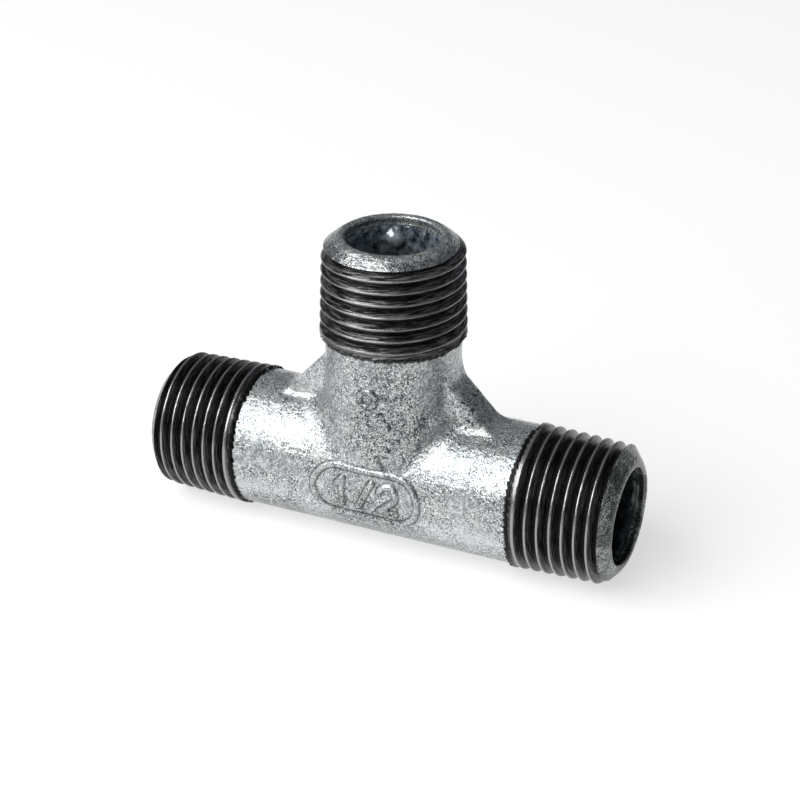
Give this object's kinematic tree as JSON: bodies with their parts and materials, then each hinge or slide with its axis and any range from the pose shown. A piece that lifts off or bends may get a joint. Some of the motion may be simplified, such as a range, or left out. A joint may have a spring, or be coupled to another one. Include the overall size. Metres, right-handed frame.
{
  "type": "male tee pipe fitting",
  "caption": "Galvanised malleable iron pipe tee with male taper threads on all ends, webbed crotches and an open T-shaped waterway.",
  "frame": {"origin": "where the axis of the branch meets the axis of the run", "axes": "+X along the run to its right end, +Z along the branch to its end, -Y towards the cast size mark"},
  "size_m": [0.074, 0.0212, 0.0477],
  "materials": {
    "galvanised_iron": "hot-dip galvanised, as cast, speckled",
    "cut_thread": "bare cut iron, lightly oiled, dark"
  },
  "bodies": {
    "root": {"casting": "galvanised_iron", "left_thread": "cut_thread", "right_thread": "cut_thread", "branch_thread": "cut_thread"}
  },
  "joints": []
}
